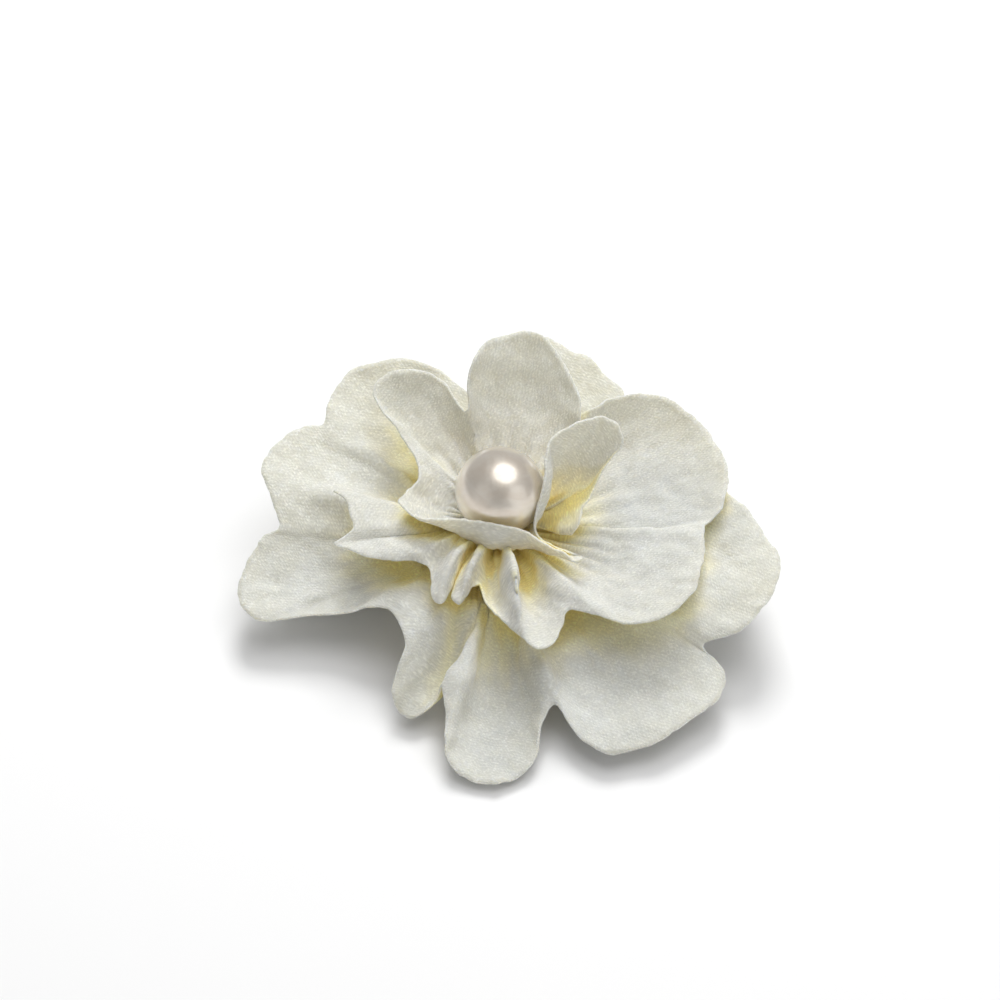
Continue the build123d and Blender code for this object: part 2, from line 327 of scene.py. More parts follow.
def make_thread():
    """Ivory sewing cotton, with loose fibres along its plies."""
    made, tree, shader = new_material(
        "thread", sheen_weight=0.4, sheen_roughness=0.4, specular_ior_level=0.3
    )
    place = object_mm(tree)
    fibres = noise_node(tree, place, 14.0, 3.0, 0.6, 0.8)
    colour = mix_colour(tree, fibres, (0.66, 0.63, 0.52, 1), (0.88, 0.86, 0.78, 1))
    roughness = remap(tree, fibres, 0.3, 0.7, 0.6, 0.85)
    connect(tree, shader, colour, roughness, fibres, bump=0.6, depth_mm=0.03)
    return made


def make_pearl():
    """Pearlised lacquer on a bead: a cream lustre that mirrors softly, under a clear gloss coat."""
    made, tree, shader = new_material(
        "pearl_lacquer",
        coat_weight=1.0,
        coat_roughness=0.1,
        coat_ior=1.7,
        sheen_weight=0.15,
        metallic=0.68,
    )
    place = object_mm(tree)
    layers = noise_node(tree, object_mm(tree, (1, 1, 2.2)), 0.32, 4.0, 0.6, 0.6)
    orange_peel = noise_node(tree, place, 3.2, 3.0)
    lustre = mix_colour(tree, remap(tree, layers, 0.3, 0.7), (0.80, 0.71, 0.60, 1), (0.88, 0.81, 0.71, 1))
    roughness = remap(tree, orange_peel, 0.3, 0.7, 0.28, 0.4)
    connect(tree, shader, lustre, roughness, orange_peel, bump=0.08, depth_mm=0.03)
    return made


crepe_satin = make_crepe_satin()
arm_steel = make_nickel("arm_steel", (0.70, 0.70, 0.69), (0.12, 3, 3), 0.55)
pin_steel = make_nickel("pin_steel", (0.64, 0.64, 0.64), (3, 0.2, 3), 0.4)
spring_wire = make_nickel("spring_wire", (0.58, 0.58, 0.59), (1.5, 1.5, 1.5), 0.5)
post_wire = make_nickel("post_wire", (0.62, 0.62, 0.62), (3, 3, 0.2), 0.3)
felt = make_felt()
glue = make_glue()
thread = make_thread()
pearl_lacquer = make_pearl()


# ---------------------------------------------------------------- cloth rounds
SPLINE_STEPS = 24  # between two knots


def full_knot(knot):
    """A knot's six values. Where they are left out, side is 0 and the outer belly equals the belly."""
    x, y, z, belly = knot[:4]
    side = knot[4] if len(knot) > 4 else 0.0
    outer_belly = knot[5] if len(knot) > 5 else belly
    return x, y, z, belly, side, outer_belly


def knot_gap(a, b):
    """The step in t from one knot to the next on a centripetal spline."""
    return max(np.linalg.norm((b - a)[:3]), 1e-3) ** 0.5


def closed_spline(knots, count):
    """count points evenly spaced along a closed centripetal Catmull-Rom curve through the knots."""
    knots = np.array([full_knot(knot) for knot in knots])
    fine = []
    for i in range(len(knots)):
        p0, p1, p2, p3 = (knots[(i + k) % len(knots)] for k in (-1, 0, 1, 2))
        t0 = 0.0
        t1 = t0 + knot_gap(p0, p1)
        t2 = t1 + knot_gap(p1, p2)
        t3 = t2 + knot_gap(p2, p3)
        for t in np.linspace(t1, t2, SPLINE_STEPS, endpoint=False):
            a1 = (t1 - t) / (t1 - t0) * p0 + (t - t0) / (t1 - t0) * p1
            a2 = (t2 - t) / (t2 - t1) * p1 + (t - t1) / (t2 - t1) * p2
            a3 = (t3 - t) / (t3 - t2) * p2 + (t - t2) / (t3 - t2) * p3
            b1 = (t2 - t) / (t2 - t0) * a1 + (t - t0) / (t2 - t0) * a2
            b2 = (t3 - t) / (t3 - t1) * a2 + (t - t1) / (t3 - t1) * a3
            fine.append((t2 - t) / (t2 - t1) * b1 + (t - t1) / (t2 - t1) * b2)
    loop = np.array(fine + fine[:1])
    steps = np.linalg.norm(np.diff(loop[:, :3], axis=0), axis=1)
    run = np.concatenate([[0], np.cumsum(steps)])
    at = np.linspace(0, run[-1], count, endpoint=False)
    return np.stack([np.interp(at, run, loop[:, k]) for k in range(loop.shape[1])], axis=1)


def blur_loop(values, sigma):
    """Gaussian blur round a closed loop. sigma is in samples."""
    reach = int(3 * sigma)
    kernel = np.exp(-0.5 * (np.arange(-reach, reach + 1) / sigma) ** 2)
    kernel /= kernel.sum()
    padded = np.concatenate([values[-reach:], values, values[:reach]])
    return np.convolve(padded, kernel, "valid")


CLOTH_MM = 0.24
SUPPORTS = ("upper_arm", "felt_base", "flower_glue")
SUPPORT_STEP_MM = 0.6
CLEAR_MM = 0.35  # from a support up to the middle of the cloth that lies on it
OVERHANG = 1.1  # how steeply cloth falls away past a support's edge
SETTLE_MM = 0.7  # how softly cloth meets its support


def support_tops():
    """Points, in mm, on top of what the flower is built on."""
    tops = []
    for node in SUPPORTS:
        low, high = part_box(node)
        made = frame["nodes"][node]
        corners = [made.matrix_world @ v.co for v in made.data.vertices]
        tree = BVHTree.FromPolygons(corners, [p.vertices[:] for p in made.data.polygons])
        for x in np.arange(low[0], high[0], SUPPORT_STEP_MM * MM):
            for y in np.arange(low[1], high[1], SUPPORT_STEP_MM * MM):
                hit = tree.ray_cast(Vector((x, y, high[2] + MM)), Vector((0, 0, -1)))[0]
                if hit is not None:
                    tops.append(hit[:])
    return np.array(tops) / MM


def settle(grid):
    """Lift a round's points, in place, wherever it would sink into what the flower is built on."""
    for row in grid:
        distance = np.hypot(row[:, None, 0] - tops[:, 0], row[:, None, 1] - tops[:, 1])
        lowest = (tops[:, 2] + CLEAR_MM - OVERHANG * distance).max(axis=1)
        row[:, 2] = (row[:, 2] + lowest + np.hypot(row[:, 2] - lowest, SETTLE_MM)) / 2


tops = support_tops()


PLEATS = 38
PLEAT_MM = 0.3
RIPPLES = ((5.0, 0, 0.45), (1.6, 3, 0.12))  # width in mm, what is added to the seed, height in mm
FRAYS = ((2.2, 7, 0.22), (0.7, 8, 0.08))
ROOT_BLUR = 0.035  # of a turn: how far the gathers even out the hem's crowding


def cloth_rays(edge, hub_mm, root_mm, rows):
    """A grid of points on cubic rays from the gathered root to each point of the hem, with each ray's
    length and the angle at which it leaves the root."""
    columns = len(edge)
    turn = np.unwrap(np.arctan2(edge[:, 1], edge[:, 0]))
    steady = np.linspace(0, TAU, columns, endpoint=False)
    root_turn = steady + turn[0] + blur_loop(turn - steady - turn[0], columns * ROOT_BLUR)
    hub = np.full(columns, hub_mm)
    root = np.stack([root_mm * np.cos(root_turn), root_mm * np.sin(root_turn), hub], axis=1)
    tip, belly, side, outer_belly = edge[:, :3], edge[:, 3:4], edge[:, 4:5], edge[:, 5:6]
    chord = tip - root
    length = np.linalg.norm(chord, axis=1, keepdims=True)
    along = chord / length
    level = np.cross(np.array([0, 0, 1.0]), along)
    level /= np.linalg.norm(level, axis=1, keepdims=True)
    down = np.cross(level, along)
    down *= np.where(down[:, 2:] > 0, -1, 1)
    inner = root + (chord + 2 * down * belly + 2 * level * side) / 3
    outer = tip + (-chord + 2 * down * outer_belly + 2 * level * side) / 3
    grid = np.empty((rows, columns, 3))
    for r, s in enumerate(np.linspace(0, 1, rows)):
        near = (1 - s) ** 3 * root + 3 * s * (1 - s) ** 2 * inner
        grid[r] = near + 3 * s * s * (1 - s) * outer + s**3 * tip
    return grid, length, root_turn


def rumple(grid, tip, root_turn, seed):
    """Pucker a round where it is gathered, ripple it, and let its hand-cut hem wander, all in place."""
    share = np.linspace(0, 1, len(grid))
    tangent_s = np.gradient(grid, axis=0)
    normal = grid_normals(grid)
    pleat_phase = PLEATS * root_turn + 1.4 * np.sin(5 * root_turn + seed)
    pucker = np.cos(pleat_phase)[None, :] * PLEAT_MM * smoothstep(0.0, 0.08, share[:, None])
    pucker = pucker * (1 - smoothstep(0.15, 0.6, share[:, None]))
    ripple = fractal_sum(grid.reshape(-1, 3), RIPPLES, seed).reshape(grid.shape[:2])
    grid += normal * (pucker + ripple * smoothstep(0.1, 0.5, share[:, None]))[:, :, None]
    fray = fractal_sum(tip, FRAYS, seed)
    outward = tangent_s[-1] / np.linalg.norm(tangent_s[-1], axis=1, keepdims=True)
    grid += outward[None] * fray[None, :, None] * smoothstep(0.8, 1.0, share)[:, None, None]


def cloth_round(name, hem, hub_mm, root_mm, seed, columns, rows):
    """A round of cloth from its gathered root to its hem, with its area, its points and how far each is from
    the root in mm. hem runs anticlockwise from above. Each of its knots is x, y, z and belly, in mm, then
    maybe side and outer belly. belly is how far the cloth hangs out and down from the straight line from
    root to hem, outer belly is the same nearer the hem, and side is how far it swings round."""
    edge = closed_spline(hem, columns)
    grid, length, root_turn = cloth_rays(edge, hub_mm, root_mm, rows)
    rumple(grid, edge[:, :3], root_turn, seed)
    settle(grid)
    made = mesh_object(name, grid.reshape(-1, 3) * MM, grid_faces(rows, columns, True))
    area = sum(p.area for p in made.data.polygons)
    run_mm = np.linspace(0, 1, rows)[:, None] * length.T
    steady = np.linspace(0, TAU, columns, endpoint=False)
    layer_mm = np.full(run_mm.shape, seed * 3.0)  # keeps each round in its own part of the noise
    on_cloth = np.stack([run_mm * np.cos(steady), run_mm * np.sin(steady), layer_mm], axis=2)
    store(made.data, "cloth", "FLOAT_VECTOR", on_cloth)
    return made, area, grid, run_mm


def grid_normals(grid):
    """Unit normals of a grid of points whose columns close into a ring."""
    normal = np.cross(np.gradient(grid, axis=0), np.roll(grid, -1, axis=1) - np.roll(grid, 1, axis=1))
    return normal / np.maximum(np.linalg.norm(normal, axis=2, keepdims=True), 1e-9)


# Sky rays measure how much sky the cloth hides. This sets only the painted shade in the satin's folds.
SKY_RAYS = 40
SKY_AXIS = Vector((0.1, 0.4, 0.9)).normalized()
REACH_MM = 26.0  # cloth further off than this hides nothing
START_MM = 0.3  # rays start this far off the cloth
FADE = 0.35  # how much less the furthest cloth hides than the nearest
MOSTLY_DOWN = 0.3  # the value for faces that turn away from the sky


def sky_fan():
    """Directions spread over the upper sky, closest together about SKY_AXIS."""
    turn = np.arange(SKY_RAYS) * math.pi * (3 - math.sqrt(5))
    height = 1 - 0.75 * (np.arange(SKY_RAYS) + 0.5) / SKY_RAYS
    level = np.sqrt(1 - height**2)
    tilt = SKY_AXIS.to_track_quat("Z", "Y").to_matrix()
    rays = np.stack([level * np.cos(turn), level * np.sin(turn), height], axis=1)
    return [tilt @ Vector(ray) for ray in rays]


def shelter(points, normals, around):
    """How much of the sky that each point faces is hidden by cloth: 0 for none to 1 for all of it."""
    fan = sky_fan()
    found = []
    for point, normal in zip(points, normals):
        normal = Vector(normal)
        start = Vector(point) + START_MM * normal
        hidden, seen = 0.0, 1e-6
        for ray in fan:
            facing = normal.dot(ray)
            if facing > 0.08:
                seen += facing
                distance = around.ray_cast(start, ray, REACH_MM)[3]
                if distance is not None:
                    hidden += facing * (1 - FADE * distance / REACH_MM)
        found.append(hidden / seen if seen > 0.5 else MOSTLY_DOWN)
    return np.array(found)


def spread(coarse, rows, columns):
    """Linear interpolation of values on a coarse closed grid to rows by columns."""
    wide = np.concatenate([coarse, coarse[:, :1]], axis=1)
    at_column = np.linspace(0, wide.shape[1] - 1, columns, endpoint=False)
    wide = np.stack([np.interp(at_column, np.arange(wide.shape[1]), row) for row in wide])
    at_row = np.linspace(0, len(wide) - 1, rows)
    return np.stack([np.interp(at_row, np.arange(len(wide)), column) for column in wide.T], axis=1)


COARSE_ROWS = 10  # shelter is found on a coarse grid and spread from there
COARSE_STEP = 5


def painted_shade_depth(grid, run_mm, around):
    """For both faces of a round, its painted shade: 0 where the cloth shows its own ivory to 1 deep in a
    fold, where cloth hides the sky or lies near the gathered root.
    """
    rows, columns = run_mm.shape
    row_pick = np.linspace(0, rows - 1, COARSE_ROWS).round().astype(int)
    column_pick = np.arange(0, columns, COARSE_STEP)
    normal = grid_normals(grid)[row_pick][:, column_pick]
    some = grid[row_pick][:, column_pick]
    near_root = 1 - smoothstep(3.0, 16.0, run_mm)
    sides = []
    for sign in (1, -1):
        hidden = shelter(some.reshape(-1, 3), sign * normal.reshape(-1, 3), around).reshape(some.shape[:2])
        hidden = smoothstep(0.1, 0.8, spread(hidden, rows, columns))
        # Painted shade: more where cloth hides the sky, and more near the gathered root.
        sides.append(np.clip(0.64 * hidden + 0.14 * near_root + 0.4 * hidden * near_root, 0, 1))
    return sides


def thicken(made, grid, sides):
    """Give a round its thickness, and store each face's painted shade on it."""
    thick = made.modifiers.new("thickness", "SOLIDIFY")
    thick.thickness = CLOTH_MM * MM
    thick.offset = 0
    thick.use_even_offset = False
    apply_modifiers(made)
    points = np.empty(len(made.data.vertices) * 3, np.float32)
    made.data.vertices.foreach_get("co", points)
    points = points.reshape(2, -1, 3) / MM
    outward = ((points[0] - grid.reshape(-1, 3)) * grid_normals(grid).reshape(-1, 3)).sum(axis=1) > 0
    # Each face of the cloth gets the painted shade found for the side it faces.
    front, back = (side.ravel() for side in sides)
    depth = [np.where(outward, front, back), np.where(outward, back, front)]
    store(made.data, "painted_fold_shade", "FLOAT", np.concatenate(depth))


# Hems, in mm, clockwise from above: x, y, z, belly, and sometimes side and outer belly, as cloth_round
# explains. Each run of points is one scallop or fold.
OUTER_HEM = [
    # right
    (25.6, 5.4, 10.5, 1.6), (27.9, 2.6, 10.4, 1.8), (29.5, -0.9, 10.0, 2.0), (31.0, -4.0, 9.8, 2.0),
    (31.1, -6.2, 9.5, 1.6), (30.4, -8.6, 9.0, 1.2), (28.3, -11.6, 8.2, 0.8), (26.0, -13.4, 7.3, -0.4),
    (22.5, -13.8, 5.8, -1.5),
    # front right
    (23.9, -15.2, 4.8, -1.2), (24.8, -16.6, 4.4, -0.6), (24.4, -19.0, 4.0, 0.2, 0.0, 1.2),
    (22.8, -21.2, 3.7, 0.3, 0.0, 1.6), (20.5, -23.3, 3.3, 0.3, 0.0, 1.8), (17.2, -25.6, 2.8, 0.3, 0.0, 1.8),
    (14.4, -26.6, 2.7, 0.3, 0.0, 1.8), (12.0, -27.0, 2.5, 0.3, 0.0, 1.6), (9.4, -25.8, 2.8, 0.2, 0.0, 0.8),
    (7.8, -23.9, 3.3, 0.0, 0.0, -0.8), (6.7, -22.0, 4.0, 0.0, 0.0, -3.0), (5.9, -21.3, 4.3, 0.0, 0.0, -4.0),
    # front
    (5.0, -22.6, 3.7, 0.6, 0.0, -2.0), (4.4, -24.8, 2.6, 1.6, 0.0, 1.2), (3.9, -27.1, 1.8, 2.2, 0.0, 2.8),
    (2.2, -28.9, 1.3, 2.4, 0.0, 3.4), (0.0, -30.1, 1.1, 2.6, 0.0, 3.6), (-1.7, -30.2, 1.0, 2.6, 0.2, 3.6),
    (-3.6, -29.5, 1.2, 2.6, 0.8, 3.0), (-5.3, -28.3, 2.2, 2.6, 1.4, 1.2),
    (-5.9, -26.4, 3.6, 2.6, 1.8, -1.8), (-6.0, -23.0, 5.0, 2.8, 2.2, -3.4),
    (-6.4, -19.6, 5.3, 3.0, 2.4, -2.8),
    # front left, one deep fold
    (-7.0, -20.0, 3.2, 3.2, 2.6, 1.0), (-8.3, -20.8, 2.2, 3.8, 2.6, 2.8),
    (-10.0, -21.3, 2.1, 3.4, 2.6, 2.8), (-11.4, -20.4, 2.6, 1.4, 2.4, 1.0),
    (-11.9, -19.2, 3.6, -0.8, 2.0, -1.6), (-11.4, -17.0, 5.2, -2.4, 1.2, -2.8),
    (-10.5, -14.5, 6.7, -2.8, 0.6, -2.4), (-11.1, -12.1, 7.5, -2.2), (-12.0, -10.6, 7.7, -1.6),
    (-13.0, -9.8, 7.6, -1.2), (-15.2, -9.7, 7.3, -0.4),
    # left
    (-17.8, -9.1, 6.2, 0.2), (-22.2, -8.9, 5.2, 0.4), (-26.3, -9.0, 4.5, 0.4), (-27.8, -8.4, 4.6, 0.2),
    (-28.9, -6.7, 4.9, 0.8), (-29.4, -4.7, 5.3, 1.2), (-28.9, -3.0, 5.9, 1.4), (-27.8, -0.5, 7.0, 1.6),
    (-26.4, 1.0, 8.0, 1.8), (-24.8, 1.6, 8.7, 1.8),
    (-25.6, 4.2, 10.0, 0.6), (-26.4, 6.6, 11.0, -0.8), (-26.9, 8.1, 11.4, -0.4), (-26.4, 10.1, 11.7, 0.8),
    (-25.0, 12.1, 12.0, 1.8), (-22.2, 13.9, 12.4, 1.6), (-20.0, 14.3, 12.4, 0.2),
    # back left
    (-19.6, 16.7, 13.7, 2.2), (-18.3, 19.2, 14.3, 3.4), (-16.7, 21.1, 14.8, 3.6), (-13.9, 22.1, 15.0, 3.6),
    (-11.1, 22.5, 15.0, 3.4), (-7.8, 21.8, 14.6, 3.0), (-5.6, 20.6, 13.7, 2.6), (-3.9, 19.5, 12.5, 2.0),
    (-1.5, 18.0, 11.5, 1.8),
    # back
    (0.8, 22.2, 14.0, 2.4), (3.5, 25.2, 15.8, 3.0), (6.1, 24.9, 15.7, 3.0), (8.3, 23.6, 15.0, 2.8),
    (10.0, 23.1, 14.8, 2.6), (11.7, 21.1, 14.0, 2.4), (13.9, 19.4, 13.3, 2.2), (14.2, 18.2, 13.0, 2.0),
    (15.5, 16.5, 11.3, 1.8),
    # back right
    (19.0, 16.3, 10.8, 1.8), (22.3, 14.0, 10.5, 1.8), (24.4, 11.0, 10.3, 1.8), (25.0, 8.0, 10.2, 1.6),
]
MIDDLE_HEM = [
    # back right
    (10.0, 13.4, 15.5, 2.0, 0.0, 4.6), (12.2, 15.0, 15.7, 2.0, 0.0, 5.4), (14.4, 15.9, 15.7, 2.0, 0.0, 5.8),
    (17.8, 16.0, 15.5, 2.0, 0.0, 6.0), (20.5, 14.6, 15.0, 2.0, 0.0, 5.8), (22.8, 12.6, 14.3, 2.0, 0.0, 5.4),
    (24.4, 9.8, 13.5, 2.0, 0.0, 4.6), (25.6, 6.6, 12.8, 2.0, 0.0, 3.8), (25.5, 4.2, 12.1, 2.2, 0.0, 3.2),
    (24.6, 1.6, 11.5, 2.4, 0.0, 3.0), (23.4, 0.2, 11.1, 2.6),
    # right
    (22.9, -0.8, 11.2, 0.0), (22.7, -4.0, 11.0, 0.2), (22.0, -8.7, 10.8, 0.8), (20.5, -11.6, 10.6, 0.8),
    (17.8, -13.9, 10.3, 0.4), (14.4, -14.7, 10.3, -0.4), (12.0, -14.2, 10.4, -2.0),
    (9.8, -13.4, 10.5, -3.6),
    # front
    (7.6, -12.9, 10.5, -2.4), (6.8, -14.6, 10.0, -0.4), (6.0, -16.9, 9.8, 0.6), (4.3, -17.9, 9.8, 0.2),
    (3.0, -17.3, 10.0, -2.6), (2.1, -16.5, 10.2, -8.0, 0.8), (0.9, -15.4, 10.5, -7.8, 0.8, -4.0),
    (-0.2, -14.0, 10.7, -5.4, 0.4, 1.4), (-1.4, -11.8, 10.9, -4.4, 0.0, 3.4),
    (-2.3, -9.6, 11.3, -4.6, 0.0, 2.4),
    # front arches
    (-3.0, -9.9, 11.1, -6.2, 0.0, -2.0), (-3.7, -11.2, 10.7, -6.8, 0.0, -5.0),
    (-4.6, -12.3, 10.6, -6.8, 0.0, -5.6), (-5.2, -11.4, 10.7, -5.6, 0.0, -3.0),
    (-4.9, -9.2, 11.0, -3.4), (-4.6, -7.6, 11.2, -1.6), (-5.1, -9.0, 11.1, -3.0, -0.6),
    (-5.9, -11.0, 10.8, -5.6, -1.0), (-6.7, -12.2, 10.6, -6.8, -1.2),
    (-7.4, -11.0, 10.8, -6.4, -1.2, -4.6), (-7.5, -9.0, 11.2, -5.6, -1.0, -2.6),
    (-7.9, -7.4, 11.5, -4.8, -0.6, -2.0),
    # left
    (-9.5, -6.6, 11.6, -4.2), (-12.0, -6.4, 11.5, -3.6), (-14.4, -6.0, 11.6, -2.8),
    (-16.6, -5.2, 11.9, -1.6), (-18.5, -4.4, 12.1, -0.8), (-17.5, -3.6, 12.4, -1.0),
    (-16.4, -2.5, 12.7, -1.2), (-16.9, -0.2, 13.1, -0.8),
    (-17.6, 1.6, 13.4, -0.2), (-18.5, 2.7, 13.6, 0.2), (-17.0, 3.2, 12.5, 0.2), (-15.0, 3.1, 11.5, 0.0),
    (-12.6, 2.9, 10.7, -0.2), (-10.4, 3.0, 10.2, 0.0),
    # back left, hidden
    (-9.0, 4.0, 10.3, 0.2), (-8.6, 6.5, 11.0, 0.6), (-8.0, 10.0, 12.0, 1.0), (-5.0, 13.0, 12.8, 1.6),
    (0.0, 14.8, 13.4, 2.0), (6.0, 14.6, 13.8, 2.4),
]
INNER_HEM = [
    # back
    (-3.7, 11.5, 17.6, 2.6), (-3.3, 15.2, 21.1, 3.2), (-1.7, 17.5, 22.1, 3.6), (0.6, 18.4, 22.5, 3.8),
    (3.2, 19.0, 22.7, 3.8), (5.0, 18.2, 22.3, 3.6), (6.7, 16.3, 21.2, 3.4), (8.2, 14.1, 19.8, 3.0),
    (9.1, 11.6, 18.0, 2.6), (8.4, 8.0, 14.8, 1.6),
    # right, hidden, then the petal that stands beside the pearl
    (7.5, 4.2, 13.2, 1.0), (7.4, 0.6, 12.3, 0.6), (7.8, -2.2, 12.0, 0.6),
    (8.9, -2.6, 13.2, 1.2), (9.3, -0.7, 14.2, 1.8), (10.1, 1.2, 15.1, 2.2), (11.3, 2.6, 16.1, 2.6),
    (13.0, 4.1, 17.7, 3.0), (13.7, 5.0, 19.1, 3.2), (13.1, 6.0, 20.5, 3.4), (11.7, 6.3, 21.3, 3.4),
    (9.8, 5.6, 21.8, 3.4), (7.2, 3.9, 21.8, 3.4), (5.7, 2.4, 21.4, 3.4), (5.1, 0.3, 20.3, 3.4),
    (4.6, -2.2, 18.3, 3.4), (4.2, -3.8, 16.1, 3.0), (4.2, -5.0, 14.2, 2.0),
    # front rim
    (6.6, -5.6, 12.8, 0.8), (9.3, -6.8, 12.3, 0.2), (8.4, -7.6, 12.7, 0.8), (6.7, -7.4, 13.7, 1.8),
    (3.3, -6.3, 15.7, 3.4), (0.0, -5.8, 16.6, 4.2), (-3.9, -4.7, 16.4, 4.0), (-6.7, -3.7, 15.7, 2.6),
    (-10.0, -2.2, 14.9, 1.0), (-11.3, -0.8, 14.9, 0.4), (-10.4, 1.4, 14.6, 0.8), (-9.2, 3.3, 14.8, 0.8),
    # back left
    (-9.6, 6.0, 15.4, 0.2), (-11.1, 8.6, 16.0, -0.6), (-13.1, 11.8, 16.8, -0.4),
    (-14.2, 14.5, 17.6, 2.2, 0.0, 3.2),
    (-12.8, 16.3, 18.5, 3.4), (-11.1, 16.6, 18.8, 3.6), (-8.3, 16.3, 18.8, 3.6), (-6.1, 14.9, 18.3, 3.4),
    (-4.4, 12.6, 17.2, 2.8),
]

HUB_RISE_MM = 0.5  # from what a round is built on up to the middle of its gathered root

rounds = []
for node, hem, root_mm, seed, columns, rows in (
    ("outer_petals", OUTER_HEM, 2.6, 1, 760, 44),
    ("middle_petals", MIDDLE_HEM, 2.4, 2, 680, 40),
    ("inner_petals", INNER_HEM, 1.9, 3, 560, 36),
):
    built_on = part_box("flower_glue")[1][2] if node == "outer_petals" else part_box(node)[0][2]
    hub_mm = built_on / MM + HUB_RISE_MM
    piece, area, grid, run_mm = cloth_round("cloth_" + node, hem[::-1], hub_mm, root_mm, seed, columns, rows)
    rounds.append((node, piece, grid, run_mm))

all_points, all_faces = [], []
for node, piece, grid, run_mm in rounds:
    all_faces += [[v + len(all_points) for v in face] for face in grid_faces(*run_mm.shape, True)]
    all_points += [tuple(point) for point in grid.reshape(-1, 3)]
everything = BVHTree.FromPolygons(all_points, all_faces)

for node, piece, grid, run_mm in rounds:
    thicken(piece, grid, painted_shade_depth(grid, run_mm, everything))
    dress(piece, node, crepe_satin)
    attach(piece, "upper_jaw")


# ---------------------------------------------------------------- metal parts
for node, material in (
    ("lower_arm", arm_steel),
    ("upper_arm", arm_steel),
    ("hinge_pin", pin_steel),
    ("pearl_post", post_wire),
    ("clip_glue", glue),
    ("flower_glue", glue),
):
    data = frame["nodes"][node].data
    data.materials.clear()
    data.materials.append(material)


def tube(name, path, radius, sides=16, closed=False):
    """A round bar along a path of points in metres, with flat ends unless it is closed."""
    path = np.array(path)
    count = len(path)
    if closed:
        ahead = np.roll(path, -1, axis=0) - np.roll(path, 1, axis=0)
    else:
        ahead = np.gradient(path, axis=0)
    ahead /= np.linalg.norm(ahead, axis=1, keepdims=True)
    side = np.cross(ahead[0], [0.3, 0.5, 0.8])
    angles = np.arange(sides) / sides * TAU
    rings = []
    for direction, centre in zip(ahead, path):
        side = side - direction * (side @ direction)
        side /= np.linalg.norm(side)
        other = np.cross(direction, side)
        rings.append(centre + radius * (np.outer(np.cos(angles), side) + np.outer(np.sin(angles), other)))
    faces = ring_faces(count, sides) if closed else capped_faces(count, sides)
    return mesh_object(name, np.concatenate(rings), faces)


JOINT_PLACE = frame["joints"][0]["pos_m"]
SPRING_WIRE = 0.7 * MM
SPRING_TURNS = 4.5
COIL_STEPS = 40  # in one turn
LEG_STEPS = 14
LEG_INSET = 0.06 * MM  # keeps the slanting legs' ends inside the CAD box


def make_spring():
    """The torsion spring's coil round the pin, with its two legs bent off to lie along the tails."""
    low, high = (np.array(corner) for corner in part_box("torsion_spring"))
    joint = Vector(JOINT_PLACE)
    radius = joint.x - low[0] - SPRING_WIRE / 2
    pitch = (high[1] - low[1] - SPRING_WIRE) / SPRING_TURNS
    start_y, end_y = low[1] + SPRING_WIRE / 2, high[1] - SPRING_WIRE / 2
    turn = np.linspace(0, SPRING_TURNS * TAU, int(SPRING_TURNS * COIL_STEPS))
    coil = np.stack(
        [
            joint.x + radius * np.sin(turn),
            start_y + pitch * turn / TAU,
            joint.z + radius * np.cos(turn),
        ],
        axis=1,
    )
    leg_x = high[0] - LEG_INSET
    upper_end = np.array([leg_x, start_y, high[2] - SPRING_WIRE / 2])
    lower_end = np.array([leg_x, end_y, low[2] + SPRING_WIRE / 2])
    reach = np.linspace(0, 1, LEG_STEPS)[:, None]
    upper_leg = upper_end + (coil[0] - upper_end) * reach
    lower_leg = coil[-1] + (lower_end - coil[-1]) * reach
    return tube("spring_coil", np.concatenate([upper_leg[:-1], coil, lower_leg[1:]]), SPRING_WIRE / 2)


spring = make_spring()
dress(spring, "torsion_spring", spring_wire)
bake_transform(spring)


# ---------------------------------------------------------------- felt
def felt_disc():
    """The flower's felt base: a cut disc with a soft uneven edge and matted faces."""
    low, high = (np.array(corner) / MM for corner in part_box("felt_base"))
    radius, thick, middle = (high[0] - low[0]) / 2, high[2] - low[2], (high[2] + low[2]) / 2
    hole_mm, edge_mm, face_rings, columns = 0.5, 0.3, 26, 240
    face = np.linspace(hole_mm, radius - edge_mm, face_rings)
    bend = np.linspace(-math.pi / 2, math.pi / 2, 9)[1:-1]
    reach = np.concatenate([face, radius - edge_mm + edge_mm * np.cos(bend), face[::-1]])
    bottom, top = np.full(face_rings, -0.5), np.full(face_rings, 0.5)
    level = np.concatenate([bottom, 0.5 * np.sin(bend), top]) * (thick - 0.1)
    angle = np.arange(columns) / columns * TAU
    round_edge = np.stack([np.cos(angle) * 9, np.sin(angle) * 9, 0 * angle], axis=1)
    wander = fractal(round_edge, 2.5, 11) * 0.16 - 0.1
    out = reach[:, None] + wander[None, :] * smoothstep(radius * 0.8, radius, reach)[:, None]
    height = np.repeat(middle + level[:, None], columns, axis=1)
    grid = np.stack([out * np.cos(angle), out * np.sin(angle), height], axis=2)
    matting = (fractal(grid.reshape(-1, 3), 1.1, 12) * 0.05).reshape(out.shape)
    grid += grid_normals(grid) * matting[:, :, None]
    rows = len(reach)
    return mesh_object("felt_disc", grid.reshape(-1, 3) * MM, ring_faces(rows, columns))


STRAP_MM = 0.72
STEP_IN_MM, STEP_OUT_MM = 2.95, 3.75  # from the arm's middle to where the strap's step starts and ends


